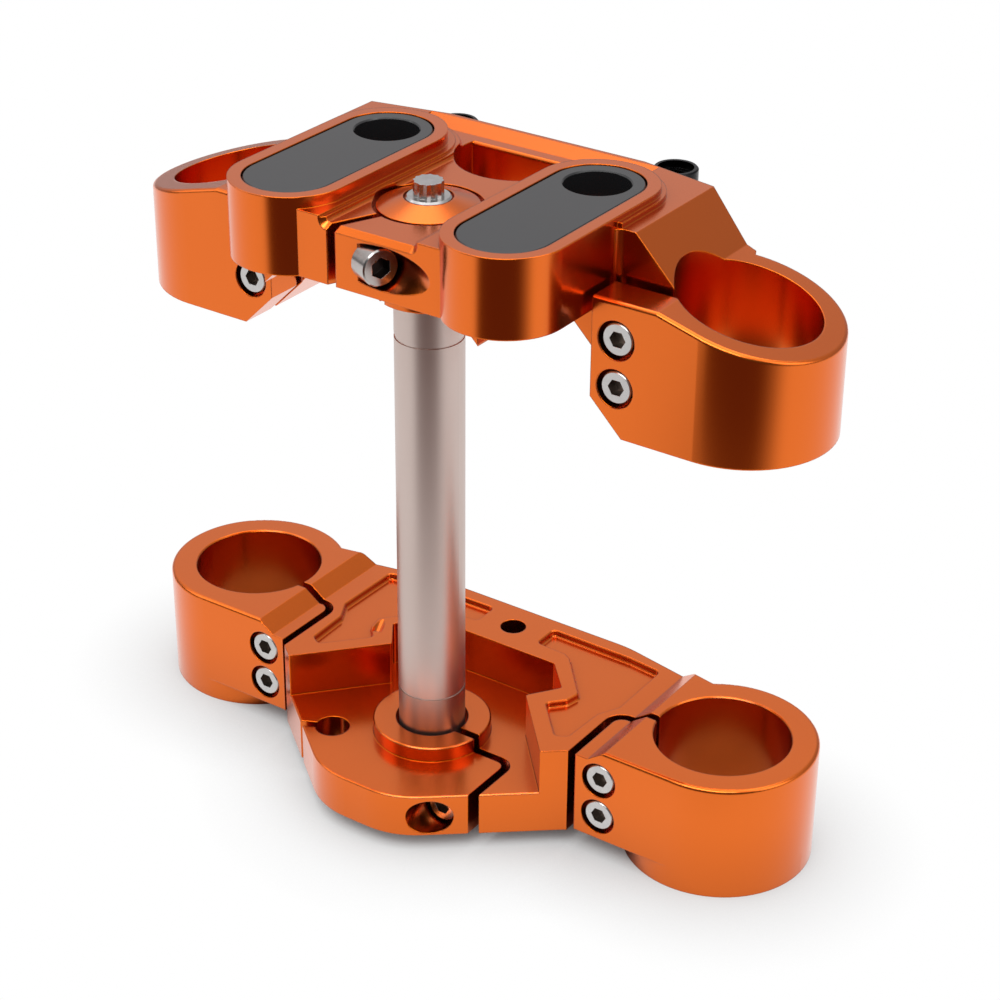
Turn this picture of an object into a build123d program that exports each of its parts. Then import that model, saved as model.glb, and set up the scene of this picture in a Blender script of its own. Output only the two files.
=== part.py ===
"""Motorcycle triple clamp: two fork clamps machined from billet, joined by the steering stem.

The frame is in millimetres. The stem's axis is x = y = 0, +X is the rider's right, +Y is forward and
z = 0 is the plane on which the lower clamp's two fork rings stand.
"""
import os
from math import cos, radians, sin

from build123d import *

os.makedirs("parts", exist_ok=True)

# Forks and stem
fork_spacing = 260.0            # between the two fork axes
fork_offset = 36.0              # the fork axes lie this far in front of the stem's axis
fork_bore = 60.0                # diameter of the four fork bores
stem_diameter = 30.0
slip = 0.05                     # radial clearance of what slides in before it is clamped
edge_break = 0.6                # small chamfer at a machined mouth
front_slope = 0.197             # how fast both front edges fall back towards the rings
slit_width = 3.8

# Lower clamp, heights above the standing plane
lower_height = 55.5             # the fork rings, bottom to top
web_step = 5.6                  # the web's top lies this much below the rings' top
body_lift = 7.7                 # underside of the web and nose
lug_lift = 10.2                 # underside of the arms and pinch lugs
pocket_depth = 21.7             # the deep pocket round the stem, below the web's top
collar_rise = 7.2               # the collar round the stem, above the pocket's floor
recess_depth = 3.0              # the shallow recesses in the web's top
recess_lip = 0.9                # their rounded upper edge
recess_foot = 1.2               # and the round at the foot of their walls
scoop_radius = 2.3
ring_round = 1.8                # the rounded outer edge on top of all four rings

# Lower clamp, plan
lower_ring_wall = 12.2
lower_front = 80.5              # the straight front edge, ahead of the stem's axis
lower_front_half = 54.0
facet_foot = 87.5               # the slope from the web up to the ring starts here
facet_run = 8.0
nose_shift = -2.6               # the nose's middle lies a little to the left
nose_tip = 54.5
nose_round = 38.0
flank_slope = 0.81
flank_reach = 70.5              # where the flanks' lines would meet, behind the stem's axis
collar_radius = 26.8
collar_mouth = 16.4             # radius of the collar's relieved mouth round the stem
collar_mouth_depth = 9.0
lower_slit_y = 30.9             # the fork slit's leg beside the bore
lower_slit_x = 79.3             # the fork slit's leg back to the rear face
lower_slit_round = 7.0
stem_slit_y = -2.6
stem_slit_x = 45.2
front_hole = 12.0
front_hole_y = 65.0
eye_radius = 7.7                # the plain eye in the floor, left of the collar
eye_x = -38.3
eye_y = -24.6
# right half of the deep pocket, from its front to past the nose's flank
pocket_outline = ((33.7, 49.2), (47.6, 34.3), (37.6, 20.0), (68.5, -14.5), (110.5, -61.4))
pocket_round = 1.5
# the right recess in the web's top, anticlockwise from the front hole
recess_outline = ((17.3, 60.0), (17.3, 73.5), (60.0, 73.0), (76.6, 71.0), (77.0, 36.0), (71.8, 26.0),
                  (70.8, 4.0), (65.8, 1.0), (48.6, 19.8), (55.0, 27.0), (56.5, 34.6), (37.0, 57.2),
                  (33.0, 59.5))
recess_corner = 2.2
scoop_x = -50.0
scoop_y = 24.5
scoop_depth = 0.7

# Upper clamp, heights
upper_lift = 206.9              # underside of the upper fork rings
upper_height = 84.9             # from there to the top of the handlebar pads
plate_depth = 34.1              # the middle plate's underside lies this much below the pads' top
pad_step = 5.0                  # the arms' top lies this much below the pads' top
floor_step = 2.9                # the middle floor lies this much below the arms' top
step_drop = 0.9                 # the small step on the way down to the middle floor
valley_round = 1.6              # round at the foot of that step
outer_ledge_rise = 2.4          # the ledge outside each pad, above the arms' top
crease_height = 60.2            # where the steep facet meets the ring's top, above upper_lift
ring_slope = 0.264              # the ring's top falls outward
upper_lug_height = 59.1

# Upper clamp, plan
upper_ring_wall = 9.65
upper_front = 85.3
upper_front_half = 50.0
arm_top_edge = 88.0             # the steep facet starts here
crease_x = 107.0
lug_end = 81.8                  # inboard end of the pinch lugs
lug_foot = 97.0                 # the lugs' and arms' 45 degree undercut starts here
upper_slit_y = 15.3
pad_x = 53.4
pad_rear = -22.3                # centre of a pad's rear round
pad_front = 43.1                # centre of a pad's front round, and of the bar mount's bore
pad_radius = 26.1
block_rear = 41.2               # the rear face between the pads, behind the stem's axis
block_chamfer = 2.5
ledge = 3.2                     # the shoulder left round the foot of a pad
step_width = 2.0                # the small step below it
outer_ledge = 2.1               # width of the ledge outside each pad
arm_corner = 3.5                # upright round where an arm meets its pad
window_round = 1.6
rib_back = 83.4                 # the front rib's top runs from here to the front edge
groove_front = 75.2             # the sloped face behind the rib meets the floor here
groove_half = 58.5
window_radius = 27.3
window_y = 64.5
window_flat = 69.0
cap_seat_radius = 23.1
cap_seat_depth = 3.4
boss_radius = 22.3
boss_height = 12.7              # the boss round the stem, under the plate
stem_slit_turn = 24.0           # the upper stem slit runs back and this many degrees to the left

# Handlebar inserts
insert_radius = 19.9
insert_gap = 0.45
insert_height = 20.0
insert_recess = 0.3
bar_bore = 28.0
bar_bolt_hole = 12.5

# Socket screws: M8 in the fork and lower stem lugs, M10 in the upper stem lug, M12 in the front ears
m8 = dict(thread=8.0, head=14.2, head_height=8.0, socket=6.5, socket_depth=4.5)
m10 = dict(thread=10.0, head=16.0, head_height=10.0, socket=8.0, socket_depth=5.5)
m12 = dict(thread=12.0, head=19.5, head_height=12.5, socket=10.0, socket_depth=8.0, dish=15.6,
           dish_depth=3.5)
screw_clearance = 0.5           # radial, in a clearance hole
counterbore_gap = 1.4           # radial, round a screw's head
thread_gap = 0.05               # radial, between a screw and its tapped hole
tip_gap = 1.0                   # a tapped hole runs this much past the screw's tip
fork_screw_x = 93.3
fork_head_recess = 1.0          # how deep the fork screws' heads lie in their counterbores
lower_fork_screw_length = 45.0
upper_fork_screw_length = 40.0
lower_screw_drops = (14.9, 33.8)        # below the lower rings' top
upper_screw_lifts = (42.5, 21.5)        # above the upper rings' underside
lower_stem_screw_x = 30.0
lower_stem_screw_drop = 11.0            # below the deep pocket's floor
lower_stem_head_y = -34.0
lower_stem_screw_length = 40.0
upper_stem_screw_drop = 20.4            # below the pads' top
upper_stem_head_x = 6.3
upper_stem_head_y = -40.7
upper_stem_screw_length = 28.0

# Stem, cap and top bolt
stem_bottom = 0.0               # flush with the fork rings
stem_bore = 20.0
stem_plug = 42.0                # solid length at the stem's top, tapped for the top bolt
groove_depth = 0.4              # the two turned grooves in the stem
upper_groove_lift = 18.6        # above the underside of the upper rings
lower_groove_drop = 2.5         # below the top of the lower rings
lower_groove_width = 1.2
upper_groove_width = 2.0
cap_radius = 21.4
cap_rim = 3.6                   # height of the cap's cone
cap_mouth = 10.4
flange_stand = 0.45             # the bolt's flange stands this much proud of the cap
bolt_flange_radius = 9.65
bolt_flange_height = 2.4
bolt_head_radius = 6.43
bolt_head_height = 6.4
top_bolt_length = 38.0

# Black screws on the front ears
ear_x = 57.0
ear_y = 99.7
ear_drop = 26.3                 # the ears' top lies this much below the pads' top
ear_height = 22.0
ear_radius = 11.0
ear_screw_length = 20.0
right_ear_screw_lift = 3.5      # the right one isn't screwed home

# Values that follow from those above
fork_x = fork_spacing / 2
bore_radius = fork_bore / 2
stem_radius = stem_diameter / 2
lower_ring = bore_radius + lower_ring_wall
upper_ring = bore_radius + upper_ring_wall
web_top = lower_height - web_step
pocket_floor = web_top - pocket_depth
collar_top = pocket_floor + collar_rise
lower_rear = fork_offset - lower_ring
upper_rear = fork_offset - upper_ring
pad_top = upper_lift + upper_height
plate_lift = pad_top - plate_depth
arm_top = pad_top - pad_step
floor_top = arm_top - floor_step
cap_seat = floor_top - cap_seat_depth
crease_top = upper_lift + crease_height
lug_top = upper_lift + upper_lug_height
stem_top = cap_seat - 0.5
cap_top = floor_top + cap_rim
bolt_seat = cap_top + flange_stand - bolt_flange_height
insert_top = pad_top - insert_recess
insert_floor = insert_top - insert_height
insert_pocket = insert_radius + insert_gap
ear_top = pad_top - ear_drop
lower_screw_heights = [lower_height - drop for drop in lower_screw_drops]
upper_screw_heights = [upper_lift + lift for lift in upper_screw_lifts]
lower_stem_screw_z = pocket_floor - lower_stem_screw_drop
upper_stem_screw_z = pad_top - upper_stem_screw_drop
upper_groove_z = upper_lift + upper_groove_lift
lower_groove_z = lower_height - lower_groove_drop
ring_reach = 18.0               # the front edges' lines end this far inside the ring's axis
far = 2 * fork_spacing          # longer than anything it cuts


def flank_x(y):
    """Half width of the nose at y, from the nose's own middle line."""
    return (y + flank_reach) / flank_slope


def flank_y(x):
    """The nose's outline at x, before its tip is rounded."""
    return max(abs(x - nose_shift) * flank_slope - flank_reach, -nose_tip)


def rearward(x, y, z):
    """A plane whose normal points to the rear, for a screw whose head's top is at this point."""
    return Plane(origin=(x, y, z), x_dir=(1, 0, 0), z_dir=(0, -1, 0))


def socket_screw(size, length):
    """A socket head screw on +Z, its head's top at z = 0 and its shank below."""
    head = size["head"] / 2
    seat = -size["head_height"]
    shank = size["thread"] / 2 - thread_gap
    with BuildPart() as screw:
        with BuildSketch(Plane.XZ):
            with BuildLine():
                Polyline(
                    (0, 0),
                    (head - 0.6, 0),
                    (head, -0.6),
                    (head, seat),
                    (shank, seat),
                    (shank, seat - length + 1),
                    (shank - 1, seat - length),
                    (0, seat - length),
                    close=True,
                )
            make_face()
        revolve(axis=Axis.Z)
        with BuildSketch(Plane.XY):
            RegularPolygon(size["socket"] / 2, 6, major_radius=False)
        extrude(amount=-size["socket_depth"], mode=Mode.SUBTRACT)
        if "dish" in size:
            with BuildSketch(Plane.XY):
                Circle(size["dish"] / 2)
            extrude(amount=-size["dish_depth"], mode=Mode.SUBTRACT)
    return screw.part


def screw_hole(size, length, slit, mouth):
    """The hole of a socket screw on +Z whose head's top is at z = 0, as a solid to cut away.

    The counterbore runs up to mouth, the clearance bore down to slit, the tapped hole past the tip.
    """
    head = size["head"] / 2 + counterbore_gap
    seat = -size["head_height"]
    clear = size["thread"] / 2 + screw_clearance
    tapped = size["thread"] / 2
    with BuildPart() as hole:
        with BuildSketch(Plane.XZ):
            with BuildLine():
                Polyline(
                    (0, mouth),
                    (head, mouth),
                    (head, seat),
                    (clear, seat),
                    (clear, -slit),
                    (tapped, -slit),
                    (tapped, seat - length - tip_gap),
                    (0, seat - length - tip_gap),
                    close=True,
                )
            make_face()
        revolve(axis=Axis.Z)
    return hole.part


# Lower clamp
lower_flat = lower_front - front_slope * (fork_x - ring_reach - lower_front_half)
nose_half = flank_x(-nose_tip)
rear_left = -flank_x(lower_rear) + nose_shift
rear_right = flank_x(lower_rear) + nose_shift
lower_head_y = lower_rear + fork_head_recess

lower_fork_hole = screw_hole(m8, lower_fork_screw_length, lower_slit_y - lower_head_y, 20)
lower_stem_hole = screw_hole(m8, lower_stem_screw_length, stem_slit_y - lower_stem_head_y, 40)


def on_nose(edge):
    """True for the edges of the pocket's floor that follow the nose's outline."""
    middle = edge @ 0.5
    if abs(middle.Z - pocket_floor) > 0.01:
        return False
    if edge.geom_type == GeomType.CIRCLE:
        return abs(edge.radius - nose_round) < 0.01
    return abs(middle.Y - flank_y(middle.X)) < 0.01


with BuildPart() as lower_clamp:
    # web, nose, lugs and rings in plan
    with BuildSketch(Plane.XY.offset(lug_lift)) as plan:
        with BuildLine():
            Polyline(
                (-lower_front_half, lower_front),
                (lower_front_half, lower_front),
                (fork_x - ring_reach, lower_flat),
                (fork_x, fork_offset),
                (fork_x, lower_rear),
                (rear_right, lower_rear),
                (nose_half + nose_shift, -nose_tip),
                (-nose_half + nose_shift, -nose_tip),
                (rear_left, lower_rear),
                (-fork_x, lower_rear),
                (-fork_x, fork_offset),
                (-fork_x + ring_reach, lower_flat),
                close=True,
            )
        make_face()
        fillet(plan.vertices().sort_by(Axis.Y)[:2], nose_round)
        fillet(plan.vertices().sort_by(Axis.Y)[-2:], 60)
        with Locations((-fork_x, fork_offset), (fork_x, fork_offset)):
            Circle(lower_ring)
    extrude(amount=lower_height - lug_lift)
    fillet(lower_clamp.faces().sort_by(Axis.Z)[-1].outer_wire().edges(), ring_round)
    with BuildSketch(Plane.XY):
        with Locations((-fork_x, fork_offset), (fork_x, fork_offset)):
            Circle(lower_ring)
    extrude(amount=lug_lift)
    # the web and nose reach lower than the arms
    with BuildSketch(Plane.XY.offset(body_lift)):
        add(plan.sketch.moved(Location((0, 0, -lug_lift))))
        Rectangle(2 * lower_slit_x - slit_width, far, mode=Mode.INTERSECT)
    extrude(amount=lug_lift - body_lift)
    # the web's top, with a slope up to each ring
    with BuildSketch(Plane.XZ):
        with BuildLine():
            Polyline(
                (-facet_foot - facet_run, lower_height),
                (-facet_foot, web_top),
                (facet_foot, web_top),
                (facet_foot + facet_run, lower_height),
                (facet_foot, 2 * lower_height),
                (-facet_foot, 2 * lower_height),
                close=True,
            )
        make_face()
    extrude(amount=far, both=True, mode=Mode.SUBTRACT)
    # the deep pocket round the stem, open to the rear, and the collar in it
    with BuildSketch(Plane.XY.offset(pocket_floor)) as pocket:
        with BuildLine():
            Polyline(*pocket_outline, *reversed([(-x, y) for x, y in pocket_outline]), close=True)
        make_face()
        fillet(pocket.vertices().sort_by(Axis.Y)[4:], pocket_round)
    extrude(amount=far, mode=Mode.SUBTRACT)
    chamfer(lower_clamp.edges().filter_by(on_nose), edge_break)
    with BuildSketch(Plane.XY.offset(body_lift)):
        Circle(collar_radius)
    extrude(amount=collar_top - body_lift)
    chamfer(lower_clamp.edges(Select.LAST).group_by(Axis.Z)[-1], edge_break)
    # the shallow recesses in the web
    with BuildSketch(Plane.XY.offset(web_top)) as recess:
        with BuildLine():
            Polyline(*recess_outline, close=True)
        make_face()
        fillet(recess.vertices(), recess_corner)
        mirror(about=Plane.YZ)
    extrude(amount=-recess_depth, mode=Mode.SUBTRACT)
    recess_edges = lower_clamp.edges(Select.LAST).group_by(Axis.Z)
    fillet(recess_edges[0], recess_foot)
    fillet(recess_edges[-1], recess_lip)
    # a scoop left by a tilted cutter
    with Locations(Plane(origin=(scoop_x, scoop_y, web_top - scoop_depth), z_dir=(-4.0, 11.5, 3.4))):
        Cylinder(scoop_radius, 30, align=(Align.CENTER, Align.CENTER, Align.MIN), mode=Mode.SUBTRACT)
    # bores, with broken edges
    with Locations((-fork_x, fork_offset), (fork_x, fork_offset)):
        Hole(bore_radius)
    Hole(stem_radius + slip)
    with BuildSketch(Plane.XY.offset(collar_top)):
        Circle(collar_mouth)
    extrude(amount=-collar_mouth_depth, mode=Mode.SUBTRACT)
    bore_mouths = lower_clamp.edges().filter_by(lambda e: e.geom_type == GeomType.CIRCLE
                                                and abs(e.radius - bore_radius) < 0.01)
    chamfer(bore_mouths, edge_break)
    with Locations((0, front_hole_y)):
        Hole(front_hole / 2)
    # the eye in the floor, open to the outside by a slot
    with BuildSketch(Plane.XY.offset(pocket_floor + 1)):
        with Locations((eye_x, eye_y)):
            Circle(eye_radius)
        with Locations(Location((eye_x, eye_y), -154)):
            Rectangle(40, slit_width, align=(Align.MIN, Align.CENTER))
    extrude(amount=-pocket_floor, mode=Mode.SUBTRACT)
    # the fork slits and the stem slit
    with BuildSketch(Plane.XY.offset(-1)) as slits:
        with BuildLine():
            FilletPolyline(
                (fork_x - 20, lower_slit_y),
                (lower_slit_x, lower_slit_y),
                (lower_slit_x, -far),
                radius=lower_slit_round,
            )
        trace(line_width=slit_width)
        mirror(about=Plane.YZ)
    extrude(amount=far, mode=Mode.SUBTRACT)
    with BuildSketch(Plane.XY.offset(-1)):
        with BuildLine():
            FilletPolyline((8, stem_slit_y), (stem_slit_x, stem_slit_y), (stem_slit_x, -far), radius=6)
        trace(line_width=slit_width)
    extrude(amount=collar_top + 2, mode=Mode.SUBTRACT)
    # the pinch screws' holes
    for side in (-1, 1):
        for height in lower_screw_heights:
            add(lower_fork_hole.moved(rearward(side * fork_screw_x, lower_head_y, height).location),
                mode=Mode.SUBTRACT)
    add(lower_stem_hole.moved(
        rearward(lower_stem_screw_x, lower_stem_head_y, lower_stem_screw_z).location),
        mode=Mode.SUBTRACT)
lower_clamp.part.label = "lower_clamp"
export_step(lower_clamp.part, "parts/lower_clamp.step")


def on_upper_rim(edge):
    """True for the top edges of a lug and ring that face away from the clamp's middle."""
    middle = edge @ 0.5
    if middle.Z < upper_lift + upper_lug_height / 2 or abs(edge.tangent_at(0.5).Z) > 0.95:
        return False
    on_ring = abs((middle - Vector(fork_x, fork_offset, middle.Z)).length - upper_ring) < 0.05
    return on_ring or (abs(middle.Y - upper_rear) < 0.05 and middle.X > lug_end)


# Upper clamp
upper_flat = upper_front - front_slope * (fork_x - ring_reach - upper_front_half)
lug_rise = lug_foot - lug_end
undercut = plate_lift - upper_lift
far_drop = ring_slope * (fork_x + upper_ring - crease_x)
upper_head_y = upper_rear + fork_head_recess
slit_front = upper_slit_y + slit_width / 2
stem_slit_dir = (-sin(radians(stem_slit_turn)), -cos(radians(stem_slit_turn)))
stem_screw_dir = (cos(radians(stem_slit_turn)), -sin(radians(stem_slit_turn)))
stem_slit_along = upper_stem_head_x * stem_screw_dir[0] + upper_stem_head_y * stem_screw_dir[1]

upper_fork_hole = screw_hole(m8, upper_fork_screw_length, upper_slit_y - upper_head_y, 20)
upper_stem_hole = screw_hole(m10, upper_stem_screw_length, stem_slit_along, 40)
upper_stem_plane = Plane(
    origin=(upper_stem_head_x, upper_stem_head_y, upper_stem_screw_z),
    x_dir=(0, 0, 1),
    z_dir=(stem_screw_dir[0], stem_screw_dir[1], 0),
)

with BuildPart() as upper_clamp:
    # arms and rings: the plan and then the section across, right half first
    with BuildSketch(Plane.XY.offset(upper_lift)) as upper_plan:
        with BuildLine():
            Polyline(
                (0, upper_front),
                (upper_front_half, upper_front),
                (fork_x - ring_reach, upper_flat),
                (fork_x, fork_offset),
                (fork_x, upper_rear),
                (lug_end, upper_rear),
                (lug_end, upper_slit_y),
                (pad_x, upper_slit_y),
                (pad_x, -block_rear),
                (0, -block_rear),
                close=True,
            )
        make_face()
        with Locations((fork_x, fork_offset)):
            Circle(upper_ring)
    extrude(amount=arm_top - upper_lift)
    with BuildSketch(Plane.XZ) as section:
        with BuildLine():
            Polyline(
                (0, plate_lift),
                (lug_foot - undercut, plate_lift),
                (lug_foot, upper_lift),
                (fork_x + upper_ring + 1, upper_lift),
                (fork_x + upper_ring + 1, crease_top - far_drop - ring_slope),
                (crease_x, crease_top),
                (arm_top_edge, arm_top),
                (0, arm_top),
                close=True,
            )
        make_face()
    extrude(amount=far, both=True, mode=Mode.INTERSECT)
    # the lugs' flat top
    with BuildSketch(Plane.XY.offset(lug_top)):
        with Locations((pad_x + pad_radius, upper_slit_y)):
            Rectangle(fork_x, far, align=(Align.MIN, Align.MAX))
    extrude(amount=far, mode=Mode.SUBTRACT)
    # the rounded outer edge on top of the lug and ring
    rim = upper_clamp.edges().filter_by(on_upper_rim)
    fillet(rim, ring_round)
    # a pad, and the ledge outside it
    with BuildSketch(Plane.XY.offset(plate_lift)):
        with Locations((pad_x, (pad_rear + pad_front) / 2)):
            SlotCenterToCenter(pad_front - pad_rear, 2 * pad_radius, rotation=90)
    extrude(amount=pad_top - plate_lift)
    with BuildSketch(Plane.XY.offset(arm_top)):
        with Locations((pad_x, (slit_front + pad_front) / 2)):
            Rectangle(pad_radius + outer_ledge, pad_front - slit_front, align=(Align.MIN, Align.CENTER))
        with Locations((pad_x, pad_front)):
            Circle(pad_radius + outer_ledge)
        with Locations((pad_x, pad_front)):
            Rectangle(far, far, align=(Align.MAX, Align.CENTER), mode=Mode.SUBTRACT)
        with Locations((pad_x, slit_front)):
            Rectangle(far, far, align=(Align.CENTER, Align.MAX), mode=Mode.SUBTRACT)
    extrude(amount=outer_ledge_rise)
    mirror(about=Plane.YZ)
    # the stepped valley between the pads
    with BuildSketch(Plane.XY.offset(arm_top)) as shoulder:
        with Locations((0, groove_front - far / 2)):
            Rectangle(2 * groove_half, far)
        with Locations((pad_x, (pad_rear + pad_front) / 2), (-pad_x, (pad_rear + pad_front) / 2)):
            SlotCenterToCenter(pad_front - pad_rear, 2 * (pad_radius + ledge), rotation=90,
                               mode=Mode.SUBTRACT)
        with Locations((pad_x, pad_rear - far / 2), (-pad_x, pad_rear - far / 2)):
            Rectangle(2 * (pad_radius + ledge), far, mode=Mode.SUBTRACT)
    extrude(amount=-step_drop, mode=Mode.SUBTRACT)
    with BuildSketch(Plane.XY.offset(arm_top - step_drop)) as valley:
        with Locations((0, groove_front - far / 2)):
            Rectangle(2 * groove_half, far)
        with Locations((pad_x, (pad_rear + pad_front) / 2), (-pad_x, (pad_rear + pad_front) / 2)):
            SlotCenterToCenter(pad_front - pad_rear, 2 * (pad_radius + ledge + step_width),
                               rotation=90, mode=Mode.SUBTRACT)
        with Locations((pad_x, pad_rear - far / 2), (-pad_x, pad_rear - far / 2)):
            Rectangle(2 * (pad_radius + ledge + step_width), far, mode=Mode.SUBTRACT)
    extrude(amount=-(floor_step - step_drop), mode=Mode.SUBTRACT)
    valley_edges = upper_clamp.edges(Select.LAST).filter_by(lambda e: abs(e.center().Z - floor_top) < 0.01
                                                            and abs(e.center().X) < pad_x
                                                            and -block_rear + 1 < e.center().Y < pad_front + 1)
    fillet(valley_edges, valley_round)
    # the sloped face behind the front rib
    with BuildSketch(Plane.YZ):
        with BuildLine():
            Polyline(
                (groove_front, floor_top),
                (rib_back, arm_top),
                (rib_back, arm_top + 5),
                (groove_front, arm_top + 5),
                close=True,
            )
        make_face()
    extrude(amount=groove_half, both=True, mode=Mode.SUBTRACT)
    # the window in front of the stem
    with BuildSketch(Plane.XY.offset(upper_lift)):
        with Locations((0, window_y)):
            Circle(window_radius)
        with Locations((0, window_flat)):
            Rectangle(far, far, align=(Align.CENTER, Align.MIN), mode=Mode.SUBTRACT)
    extrude(amount=far, mode=Mode.SUBTRACT)
    fillet(upper_clamp.edges(Select.LAST).filter_by(GeomType.LINE).filter_by(Axis.X).sort_by(Axis.Z)[-1],
           window_round)
    # the rear block's upper edge
    block_edges = upper_clamp.edges().filter_by(lambda e: abs(e.center().Z - floor_top) < 0.01
                                                and abs(e.center().Y + block_rear) < 0.01)
    chamfer(block_edges, block_chamfer)
    # the boss round the stem, the stem's bore and the cap's seat
    with BuildSketch(Plane.XY.offset(plate_lift)):
        Circle(boss_radius)
    extrude(amount=-boss_height)
    Hole(stem_radius + slip)
    with BuildSketch(Plane.XY.offset(cap_seat)):
        Circle(cap_seat_radius)
    extrude(amount=far, mode=Mode.SUBTRACT)
    # the inserts' pockets and the bar mounts' bolt holes
    with BuildSketch(Plane.XY.offset(insert_floor)):
        with Locations((pad_x, (pad_rear + pad_front) / 2), (-pad_x, (pad_rear + pad_front) / 2)):
            SlotCenterToCenter(pad_front - pad_rear, 2 * insert_pocket, rotation=90)
    extrude(amount=far, mode=Mode.SUBTRACT)
    with Locations((-pad_x, pad_front), (pad_x, pad_front)):
        Hole(bar_bolt_hole / 2)
    with Locations((-fork_x, fork_offset), (fork_x, fork_offset)):
        Hole(bore_radius)
    # ears for the front screws
    with BuildSketch(Plane.XY.offset(ear_top)) as ears:
        for side in (-1, 1):
            with BuildLine():
                Polyline(
                    (side * (ear_x - ear_radius), ear_y),
                    (side * (ear_x - ear_radius), upper_front - 12),
                    (side * (ear_x + ear_radius), upper_front - 12),
                    (side * (ear_x + ear_radius), ear_y),
                    close=True,
                )
            make_face()
        with Locations((-ear_x, ear_y), (ear_x, ear_y)):
            Circle(ear_radius)
    extrude(amount=-ear_height)
    # the slits
    with BuildSketch(Plane.XY.offset(upper_lift - 1)) as fork_slits:
        with Locations((pad_x + pad_radius, upper_slit_y)):
            Rectangle(fork_x - pad_x - pad_radius, slit_width, align=(Align.MIN, Align.CENTER))
        fillet(fork_slits.vertices().sort_by_distance((pad_x + pad_radius, slit_front))[0], arm_corner)
        mirror(about=Plane.YZ)
    extrude(amount=far, mode=Mode.SUBTRACT)
    with BuildSketch(Plane.XY.offset(upper_lift - 1)):
        with Locations(Location((0, 0), -90 - stem_slit_turn)):
            Rectangle(far, slit_width, align=(Align.MIN, Align.CENTER))
    extrude(amount=far, mode=Mode.SUBTRACT)
    # the pinch screws' holes
    for side in (-1, 1):
        for height in upper_screw_heights:
            add(upper_fork_hole.moved(rearward(side * fork_screw_x, upper_head_y, height).location),
                mode=Mode.SUBTRACT)
    add(upper_stem_hole.moved(upper_stem_plane.location), mode=Mode.SUBTRACT)
    with Locations((-ear_x, ear_y, ear_top), (ear_x, ear_y, ear_top)):
        Cylinder(m12["thread"] / 2, 2 * ear_height + 2, mode=Mode.SUBTRACT)
upper_clamp.part.label = "upper_clamp"
export_step(upper_clamp.part, "parts/upper_clamp.step")

# Steering stem
with BuildPart() as steering_stem:
    with BuildSketch(Plane.XZ):
        with BuildLine():
            Polyline(
                (stem_bore / 2, stem_bottom),
                (stem_radius - 1, stem_bottom),
                (stem_radius, stem_bottom + 1),
                (stem_radius, lower_groove_z),
                (stem_radius - groove_depth, lower_groove_z),
                (stem_radius - groove_depth, lower_groove_z + lower_groove_width),
                (stem_radius, lower_groove_z + lower_groove_width),
                (stem_radius, upper_groove_z),
                (stem_radius - groove_depth, upper_groove_z),
                (stem_radius - groove_depth, upper_groove_z + upper_groove_width),
                (stem_radius, upper_groove_z + upper_groove_width),
                (stem_radius, stem_top - 1),
                (stem_radius - 1, stem_top),
                (m10["thread"] / 2, stem_top),
                (m10["thread"] / 2, stem_top - stem_plug + 6),
                (0, stem_top - stem_plug + 6),
                (0, stem_top - stem_plug),
                (stem_bore / 2, stem_top - stem_plug - 6),
                close=True,
            )
        make_face()
    revolve(axis=Axis.Z)
steering_stem.part.label = "steering_stem"
export_step(steering_stem.part, "parts/steering_stem.step")

# Cap over the stem
with BuildPart() as stem_cap:
    with BuildSketch(Plane.XZ):
        with BuildLine():
            Polyline(
                (m10["thread"] / 2 + screw_clearance, cap_seat),
                (cap_radius, cap_seat),
                (cap_radius, floor_top),
                (cap_mouth, cap_top),
                (cap_mouth, bolt_seat),
                (m10["thread"] / 2 + screw_clearance, bolt_seat),
                close=True,
            )
        make_face()
    revolve(axis=Axis.Z)
stem_cap.part.label = "stem_cap"
export_step(stem_cap.part, "parts/stem_cap.step")

# Twelve point flange bolt through the cap into the stem
top_shank = m10["thread"] / 2 - thread_gap
with BuildPart() as stem_bolt:
    with BuildSketch(Plane.XZ):
        with BuildLine():
            Polyline(
                (0, bolt_seat - top_bolt_length),
                (top_shank - 1, bolt_seat - top_bolt_length),
                (top_shank, bolt_seat - top_bolt_length + 1),
                (top_shank, bolt_seat),
                (bolt_flange_radius, bolt_seat),
                (bolt_flange_radius, bolt_seat + bolt_flange_height - 0.8),
                (bolt_flange_radius - 0.8, bolt_seat + bolt_flange_height),
                (0, bolt_seat + bolt_flange_height),
                close=True,
            )
        make_face()
    revolve(axis=Axis.Z)
    with BuildSketch(Plane.XY.offset(bolt_seat + bolt_flange_height)):
        RegularPolygon(bolt_head_radius, 6)
        RegularPolygon(bolt_head_radius, 6, rotation=30)
    extrude(amount=bolt_head_height)
stem_bolt.part.label = "stem_bolt"
export_step(stem_bolt.part, "parts/stem_bolt.step")

# Handlebar inserts
for name, side in (("bar_insert_left", -1), ("bar_insert_right", 1)):
    with BuildPart() as insert:
        with BuildSketch(Plane.XY.offset(insert_floor)):
            with Locations((side * pad_x, (pad_rear + pad_front) / 2)):
                SlotCenterToCenter(pad_front - pad_rear, 2 * insert_radius, rotation=90)
            with Locations((side * pad_x, pad_front)):
                Circle(bar_bore / 2, mode=Mode.SUBTRACT)
        extrude(amount=insert_height)
        chamfer(insert.faces().sort_by(Axis.Z)[-1].edges(), edge_break)
    insert.part.label = name
    export_step(insert.part, "parts/" + name + ".step")

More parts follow.
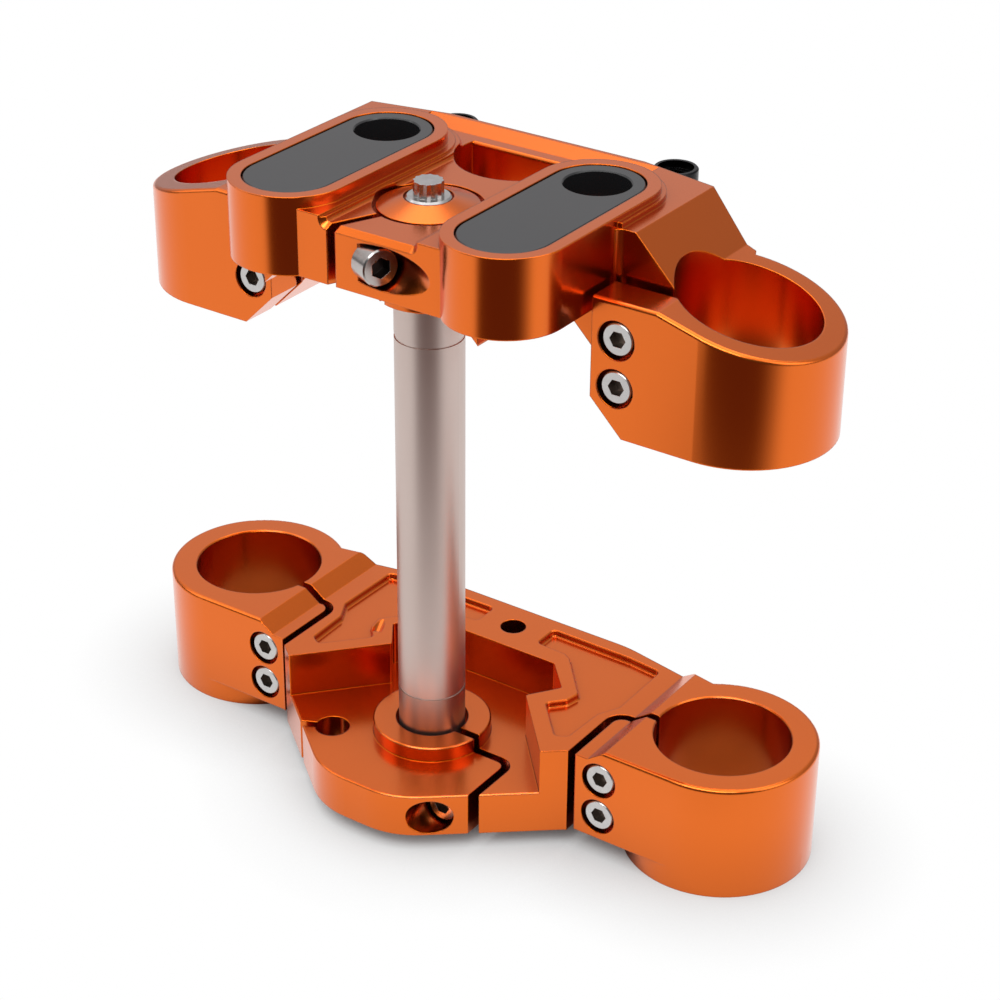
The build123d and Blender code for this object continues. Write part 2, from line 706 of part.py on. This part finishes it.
# Screws
screws = []
lower_fork_screw = socket_screw(m8, lower_fork_screw_length)
upper_fork_screw = socket_screw(m8, upper_fork_screw_length)
ear_screw = socket_screw(m12, ear_screw_length)
for hand, side in (("left", -1), ("right", 1)):
    for level, height in (("upper", lower_screw_heights[0]), ("lower", lower_screw_heights[1])):
        plane = rearward(side * fork_screw_x, lower_head_y, height)
        screws.append(("lower_fork_screw_" + hand + "_" + level, lower_fork_screw, plane))
    for level, height in (("upper", upper_screw_heights[0]), ("lower", upper_screw_heights[1])):
        plane = rearward(side * fork_screw_x, upper_head_y, height)
        screws.append(("upper_fork_screw_" + hand + "_" + level, upper_fork_screw, plane))
ear_head = ear_top + m12["head_height"]
screws.append(("front_screw_left", ear_screw, Plane((-ear_x, ear_y, ear_head))))
screws.append(("front_screw_right", ear_screw, Plane((ear_x, ear_y, ear_head + right_ear_screw_lift))))
screws.append(("lower_stem_screw", socket_screw(m8, lower_stem_screw_length),
               rearward(lower_stem_screw_x, lower_stem_head_y, lower_stem_screw_z)))
screws.append(("upper_stem_screw", socket_screw(m10, upper_stem_screw_length), upper_stem_plane))
for name, screw, plane in screws:
    placed = screw.moved(plane.location)
    placed.label = name
    export_step(placed, "parts/" + name + ".step")
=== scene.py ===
# %% [markdown]
# # A motorcycle triple clamp in orange anodised aluminium
# The part arrives as finished solids: two fork clamps, the steering stem between them, its cap and
# bolt, the pinch screws, and two black inserts for the handlebar mounts. Their shapes are right, so
# this lesson is about finishes, light and the camera. First the frame is loaded and measured.

# %% Load the frame
from math import cos, radians, sin

import bpy
from mathutils import Matrix, Vector


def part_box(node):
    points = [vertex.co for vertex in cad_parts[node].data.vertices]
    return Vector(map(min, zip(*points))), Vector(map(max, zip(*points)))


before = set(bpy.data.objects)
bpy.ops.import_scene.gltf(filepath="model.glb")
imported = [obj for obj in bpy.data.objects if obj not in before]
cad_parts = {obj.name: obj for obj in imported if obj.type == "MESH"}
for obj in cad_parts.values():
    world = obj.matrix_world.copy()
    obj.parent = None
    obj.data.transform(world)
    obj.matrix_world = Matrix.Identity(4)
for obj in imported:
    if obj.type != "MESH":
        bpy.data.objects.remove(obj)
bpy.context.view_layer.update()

mm = 0.001
print("nodes", len(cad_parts))

# %% [markdown]
# ## The camera
# A studio photograph taken with a long lens from the rider's side and above. The camera's place and
# the point it looks at were worked out from the four fork bores, which are true circles of known
# size, so a small roll of half a degree is kept too.

# %% Camera
camera_place = Vector((552.1, -753.9, 660.4)) * mm
camera_target = Vector((36.3, 0, 158.4)) * mm
camera_roll = radians(0.49)
focal_length = 88.76
sensor_width = 36

back = (camera_place - camera_target).normalized()
level_right = Vector((0, 0, 1)).cross(back).normalized()
level_up = back.cross(level_right)
right = cos(camera_roll) * level_right + sin(camera_roll) * level_up
up = cos(camera_roll) * level_up - sin(camera_roll) * level_right

lens = bpy.data.cameras.new("camera")
lens.lens = focal_length
lens.sensor_width = sensor_width
camera = bpy.data.objects.new("camera", lens)
camera.matrix_world = Matrix.Translation(camera_place) @ Matrix((right, up, back)).transposed().to_4x4()
bpy.context.collection.objects.link(camera)
bpy.context.scene.camera = camera
bpy.context.scene.view_settings.view_transform = "Standard"
print("camera distance", round((camera_place - camera_target).length, 3))

# %% [markdown]
# ## Writing shaders as sums
# Blender's materials are graphs of nodes. Wrapping a socket in a small class lets Python's own
# operators add the Math nodes, so a mask reads as a line of arithmetic. One more method makes any
# other node from its type, its settings and what goes into its sockets, and a few short ones on top
# of it name what this lesson asks for often.


# %% A socket that can be added and multiplied
class Value:
    """One output of a node, with arithmetic that adds Math nodes."""

    def __init__(self, graph, socket):
        self.graph = graph
        self.socket = socket

    def math(self, operation, first, second=0.0):
        return self.graph.node("ShaderNodeMath", {"operation": operation}, {0: first, 1: second})

    def __add__(self, other):
        return self.math("ADD", self, other)

    def __radd__(self, other):
        return self.math("ADD", other, self)

    def __sub__(self, other):
        return self.math("SUBTRACT", self, other)

    def __rsub__(self, other):
        return self.math("SUBTRACT", other, self)

    def __mul__(self, other):
        return self.math("MULTIPLY", self, other)

    def __rmul__(self, other):
        return self.math("MULTIPLY", other, self)

    def __truediv__(self, other):
        return self.math("DIVIDE", self, other)

    def __rtruediv__(self, other):
        return self.math("DIVIDE", other, self)

    def above(self, limit):
        """1 where the value is above the limit, and 0 elsewhere."""
        return self.math("GREATER_THAN", self, limit)


# %% [markdown]
# The graph itself knows where a point lies, how far it lies along a direction, how open it is to the
# air around it, and how to blend two colours.


# %% A graph of nodes
class Graph:
    """The node tree of one material or world."""

    def __init__(self, tree):
        self.tree = tree
        tree.nodes.clear()

    def node(self, kind, settings=None, inputs=None, output=0):
        """Makes a node, sets it up, fills its sockets and returns one of its outputs."""
        made = self.tree.nodes.new(kind)
        for name, value in (settings or {}).items():
            if name == "stops":
                self.fill_ramp(made, value)
            else:
                setattr(made, name, value)
        for name, value in (inputs or {}).items():
            if isinstance(value, Value):
                self.tree.links.new(value.socket, made.inputs[name])
            else:
                made.inputs[name].default_value = value
        return Value(self, made.outputs[output]) if made.outputs else None

    def fill_ramp(self, made, stops):
        """Sets a colour ramp's stops, each a place from 0 to 1 and a colour."""
        ramp = made.color_ramp
        while len(ramp.elements) < len(stops):
            ramp.elements.new(0.5)
        for element, (place, colour) in zip(ramp.elements, stops):
            element.position = place
            element.color = (*colour, 1)

    def blend(self, amount, first, second):
        """Mixes two colours."""
        return self.node("ShaderNodeMix", {"data_type": "RGBA"}, {0: amount, 6: first, 7: second}, output=2)

    def vectors(self, operation, first, second=(0, 0, 0), output=0):
        """Vector maths. Lengths and dot products come from output 1."""
        return self.node("ShaderNodeVectorMath", {"operation": operation}, {0: first, 1: second}, output)

    def here(self):
        """The point on the surface, in the object's own metres."""
        return self.node("ShaderNodeTexCoord", output=3)

    def along(self, point, direction):
        """How far a point or a direction reaches along another direction."""
        return self.vectors("DOT_PRODUCT", point, direction, output=1)

    def rise(self, value, none, full):
        """0 at one value, 1 at the other, and smooth between them."""
        return self.node("ShaderNodeMapRange", {"interpolation_type": "SMOOTHSTEP"},
                         {0: value, 1: none, 2: full})

    def openness(self, samples, distance):
        """1 in the open, less where something stands within the distance."""
        return self.node("ShaderNodeAmbientOcclusion", {"samples": samples}, {"Distance": distance}, 1)

    def rounded(self, samples, radius):
        """A normal that rounds the edges by a radius, for the shading alone."""
        return self.node("ShaderNodeBevel", {"samples": samples}, {"Radius": radius})

    def noise(self, stretch, size, detail=3.0):
        """Noise over the surface, squeezed by stretch."""
        point = self.vectors("MULTIPLY", self.here(), stretch)
        return self.node("ShaderNodeTexNoise", {}, {"Vector": point, "Scale": size, "Detail": detail})

    def bump(self, strength, height, normal=None):
        """Fine relief a tenth of a millimetre deep, eased by strength."""
        inputs = {"Strength": strength, "Distance": 0.1 * mm, "Height": height}
        if normal is not None:
            inputs["Normal"] = normal
        return self.node("ShaderNodeBump", {}, inputs)

    def principled(self, inputs):
        """Ends a material in one Principled shader."""
        self.surface(self.node("ShaderNodeBsdfPrincipled", {}, inputs))

    def surface(self, shader):
        self.node("ShaderNodeOutputMaterial", {}, {"Surface": shader})


def finish(name):
    """A new material and its graph."""
    material = bpy.data.materials.new(name)
    material.use_nodes = True
    return material, Graph(material.node_tree)


# %% [markdown]
# ## Orange anodising
# Anodised aluminium is still a metal mirror, only dyed: every reflection takes the dye's colour. The
# dye lies in a clear hard skin, and that skin has a shine of its own that stays white. So the metal
# gets the colour, and a thin coat gives the milky light on the faces that the studio's white fills.
# A milled billet has faint straight tool lines and a slightly uneven sheen, so the roughness gets a
# fine streaky noise and the normal a trace of it. A Bevel node rounds the edges a hair, which gives
# them the thin light line that a real broken edge has. Light that bounces twice off the dye turns
# red, more in the render than on the real part, so shade is painted into the dye: ambient occlusion
# makes it darker in pockets and bores.

# %% Anodised aluminium
anodised, g = finish("orange_anodised")
lines = g.noise((1.0, 22.0, 22.0), 110.0, 2.0)
cloud = g.noise((1, 1, 1), 14.0, 2.0)
dye_and_painted_shade = g.blend(cloud, (0.78, 0.140, 0.006, 1), (0.83, 0.158, 0.010, 1))
# Painted shade: ambient occlusion mixes a darker dye into pockets, bores and the foot of walls.
dye_and_painted_shade = g.blend(g.openness(6, 40 * mm), (0.46, 0.080, 0.003, 1), dye_and_painted_shade)
g.principled({
    "Base Color": dye_and_painted_shade,
    "Metallic": 1.0,
    "Roughness": 0.19 + 0.04 * lines + 0.03 * cloud,
    "Coat Weight": 0.4,
    "Coat Roughness": 0.18,
    "Coat IOR": 1.5,
    "Normal": g.bump(0.012, lines, g.rounded(8, 0.9 * mm)),
})
print("made", anodised.name)

# %% [markdown]
# ## Ground steel
# The stem was ground while it turned, so its scratches run round it. Noise squeezed along the
# stem's axis makes rings, and those vary both the roughness and the height. Its foot, below the
# lower groove, is darker, and that groove lies 2.5 mm below the top of the lower clamp.

# %% Ground steel
lower_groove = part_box("lower_clamp")[1][2] - 2.5 * mm
ground, g = finish("ground_steel")
rings = g.noise((0.35, 0.35, 12.0), 420.0, 3.0)
patches = g.noise((1, 1, 0.4), 30.0, 4.0)
steel = g.blend(patches, (0.57, 0.455, 0.41, 1), (0.66, 0.55, 0.51, 1))
foot = 1 - g.along(g.here(), (0, 0, 1)).above(lower_groove)
g.principled({
    "Base Color": g.blend(0.45 * foot, steel, (0.30, 0.22, 0.19, 1)),
    "Metallic": 1.0,
    "Roughness": 0.34 + 0.10 * rings,
    "Normal": g.bump(0.05, rings),
})
print("the stem's foot ends at", round(1000 * lower_groove, 2), "mm")

# %% [markdown]
# ## Screws
# The pinch screws are plain stainless, the one at the upper stem is darker, and the two in front are
# blackened. They share one recipe with other colours. Light hardly reaches into a socket, so its shade
# is painted: everything deeper than a third of a millimetre below the head's face gets a darker colour,
# and it is rougher too, as the dull punched metal there is. That depth is a dot product of the place
# with the screw's axis, and the distance from the axis is the length of a cross product.

# %% Screw steels
face_lip = 0.35 * mm


def screw_finish(name, low, high, roughness, face=None, inward=(0, 1, 0), socket=None,
                 painted_socket_shade=(0.30, 0.26, 0.23)):
    """A screw's steel, mottled from colour low to colour high.

    face is a point on the head's face, inward the way down its axis, and the last colour is the shade
    painted below the face. Where the head's side shows too, socket is the radius inside which that
    shade is painted.
    """
    material, g = finish(name)
    mottle = g.noise((1, 1, 1), 300.0, 3.0)
    colour = g.blend(mottle, (*low, 1), (*high, 1))
    rough = roughness + 0.12 * mottle
    if face is not None:
        depth = g.along(g.here(), inward) - Vector(face).dot(Vector(inward))
        deep = depth.above(face_lip)
        if socket is not None:
            swept = g.vectors("CROSS_PRODUCT", g.vectors("SUBTRACT", g.here(), face), inward)
            deep = deep * (socket - g.vectors("LENGTH", swept, output=1)).above(0)
        # Painted shade: inside the socket, below the face, the colour turns dark, and the roughness rises
        # as well.
        colour = g.blend(deep, colour, (*painted_socket_shade, 1))
        rough = rough + 0.12 * deep
    g.principled({
        "Base Color": colour,
        "Metallic": 1.0,
        "Roughness": rough,
        "Normal": g.bump(0.03, mottle, g.rounded(4, 0.2 * mm)),
    })
    return material


# %% [markdown]
# The faces of a family of pinch screws lie in one plane, so one finish serves the whole family, and
# its face is read off one screw's box. The screw of the upper stem slit stands at an angle of its
# own, so its face and axis are given.

# %% Stainless, darkened and blackened screws
bright = ((0.48, 0.465, 0.455), (0.65, 0.63, 0.62))
stainless = screw_finish("stainless", *bright, 0.16)
socket_radii = {"lower_fork_screw_left_upper": None, "upper_fork_screw_left_upper": None,
                "lower_stem_screw": 3.9 * mm}
pinch = {}
for screw, socket_radius in socket_radii.items():
    low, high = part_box(screw)
    face = ((low[0] + high[0]) / 2, low[1], (low[2] + high[2]) / 2)
    family = screw.split("_left")[0]
    pinch[family] = screw_finish("pinch_" + family, *bright, 0.2, face, socket=socket_radius)
    print(family, "face at", round(1000 * face[1], 2))

slit_way = radians(24)
slit_face = Vector((6.3, -40.7, 271.4)) * mm
# This screw's socket gets a nearly black painted shade.
darkened = screw_finish("darkened_steel", (0.42, 0.39, 0.37), (0.56, 0.53, 0.51), 0.16,
                        slit_face, (-cos(slit_way), sin(slit_way), 0), 4.7 * mm,
                        painted_socket_shade=(0.09, 0.075, 0.07))
blackened = screw_finish("blackened_steel", (0.012, 0.012, 0.013), (0.03, 0.03, 0.032), 0.22)

# %% [markdown]
# ## Black inserts
# Smooth black plates let into the pads. They aren't a metal, so they only shine where light grazes
# them.

# %% Satin black
satin_black, g = finish("satin_black")
haze = g.noise((1, 1, 1), 40.0, 4.0)
g.principled({
    "Base Color": g.blend(haze, (0.010, 0.010, 0.011, 1), (0.014, 0.014, 0.015, 1)),
    "Roughness": 0.14 + 0.05 * haze,
    "IOR": 1.65,
    "Normal": g.rounded(4, 0.3 * mm),
})
print("made", satin_black.name)

# %% [markdown]
# ## Who wears what
# Each solid keeps its shape and gets its finish by name. The screws are found by their family, and
# what has no finish of its own is plain stainless.

# %% Give out the finishes
finishes = {
    "lower_clamp": anodised,
    "upper_clamp": anodised,
    "stem_cap": anodised,
    "steering_stem": ground,
    "bar_insert_left": satin_black,
    "bar_insert_right": satin_black,
    "front_screw_left": blackened,
    "front_screw_right": blackened,
    "upper_stem_screw": darkened,
}
for name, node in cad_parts.items():
    family = name.split("_left")[0].split("_right")[0]
    material = finishes.get(name) or pinch.get(family) or stainless
    node.data.materials.clear()
    node.data.materials.append(material)
print("finished", len(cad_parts), "nodes")

# %% [markdown]
# ## Floor
# The photograph stands on pure white. The floor is a pale sheet that looks white to the camera and to
# the metal, and ambient occlusion takes that white away where the part comes close, so the contact
# shadow stays and the fork bores are dim inside. What bright metal shows is its surroundings: white
# paper near it, and a dark studio behind the photographer. That dark part draws the deep bands on the
# rings and pads, so the floor fades to dark for glossy rays only, in a wedge on the photographer's
# side. Its left edge is sharper than its right one, as the bands' edges are.

# %% Floor
floor_size = 6
bpy.ops.mesh.primitive_plane_add(size=floor_size)
floor = bpy.context.object
floor.name = "floor"
paper, g = finish("paper")
to_camera = g.node("ShaderNodeLightPath", output=0)
to_metal = g.node("ShaderNodeLightPath", output=3)

dark_way = radians(-62)
outward = g.along(g.here(), (cos(dark_way), sin(dark_way), 0))
sideways = g.along(g.here(), (-sin(dark_way), cos(dark_way), 0))
spread = sideways / outward
wedge = g.rise(outward, 0.10, 0.46) * g.rise(spread, -0.98, -0.62) * g.rise(spread, 1.5, 0.45)
paper_tint = g.blend(to_metal * wedge, (1, 1, 1, 1), (0.12, 0.055, 0.045, 1))

open_sky = g.openness(8, 55 * mm)
shown = open_sky * to_camera + g.rise(open_sky, 0.22, 0.6) * to_metal
matt = g.node("ShaderNodeBsdfDiffuse", {}, {"Color": (0.4, 0.4, 0.4, 1)})
white = g.node("ShaderNodeEmission", {}, {"Color": paper_tint})
g.surface(g.node("ShaderNodeMixShader", {}, {0: shown, 1: matt, 2: white}))
floor.data.materials.append(paper)
print("floor", floor_size, "m across")

# %% [markdown]
# ## Room
# The room is grey at the horizon and lighter overhead, which gives the tops their even light. It is
# dark low down behind the photographer, and dimmer in the far corner that the sloped tops beside the
# left ring mirror. Behind the part the camera sees plain white.

# %% World
world = bpy.data.worlds.new("studio")
bpy.context.scene.world = world
world.use_nodes = True
g = Graph(world.node_tree)
seen = g.node("ShaderNodeLightPath", output=0)
way = g.node("ShaderNodeTexCoord", output=0)
height = g.along(way, (0, 0, 1))
horizon_to_ceiling = [(0.0, (0.30, 0.30, 0.31)), (0.35, (0.62, 0.61, 0.62)),
                      (0.62, (0.80, 0.79, 0.80)), (0.85, (1.0, 1.0, 1.0))]
glow = g.node("ShaderNodeValToRGB", {"stops": horizon_to_ceiling}, {0: height})

gloom = (0.05, 0.05, 0.05, 1)
camera_way = radians(-85)
behind_camera = g.rise(g.along(way, (cos(camera_way), sin(camera_way), 0)), -0.1, 0.4)
low_down = g.rise(height, 0.72, 0.5)
glow = g.blend(0.85 * behind_camera * low_down, glow, gloom)

corner_way = (0.291, 0.720, 0.629)
far_corner = g.rise(g.along(way, corner_way), 0.78, 0.95)
glow = g.blend(0.42 * far_corner, glow, gloom)

ceiling = g.rise(height, 0.6, 0.85)
room = g.node("ShaderNodeBackground", {}, {"Color": glow, "Strength": 1.0 + 0.25 * ceiling})
sheet = g.node("ShaderNodeBackground", {}, {"Color": (1, 1, 1, 1), "Strength": 1.0})
sky = g.node("ShaderNodeMixShader", {}, {0: seen, 1: room, 2: sheet})
g.node("ShaderNodeOutputWorld", {}, {"Surface": sky})
print("room set")

# %% [markdown]
# ## Lamps
# Metal shows the shapes of its lamps, so all of them are large soft boxes. Two stand at the sides and
# one hangs over the part. The key box hangs above the photographer, where the broken edges of the
# rings and the cap's cone mirror it, and draws their golden lines.

# %% Lamps
middle = (0, 0, 0.16)


def soft_box(name, place, size, power):
    """A rectangular lamp that faces the middle of the part."""
    lamp = bpy.data.lights.new(name, "AREA")
    lamp.shape = "RECTANGLE"
    lamp.size, lamp.size_y = size
    lamp.energy = power
    holder = bpy.data.objects.new(name, lamp)
    bpy.context.collection.objects.link(holder)
    away = (Vector(place) - Vector(middle)).normalized()
    side = Vector((0, 0, 1)).cross(away).normalized()
    turn = Matrix((side, away.cross(side), away)).transposed().to_4x4()
    holder.matrix_world = Matrix.Translation(place) @ turn
    print(name, power, "W")


soft_box("left_box", (-1.25, -0.75, 0.95), (0.9, 1.0), 3.5)
soft_box("right_box", (1.35, 0.1, 0.95), (0.9, 1.0), 3.5)
soft_box("top_box", (-0.1, 0.3, 1.5), (1.4, 0.9), 5)
soft_box("key_box", (0.26, -0.95, 1.40), (1.4, 0.5), 10)
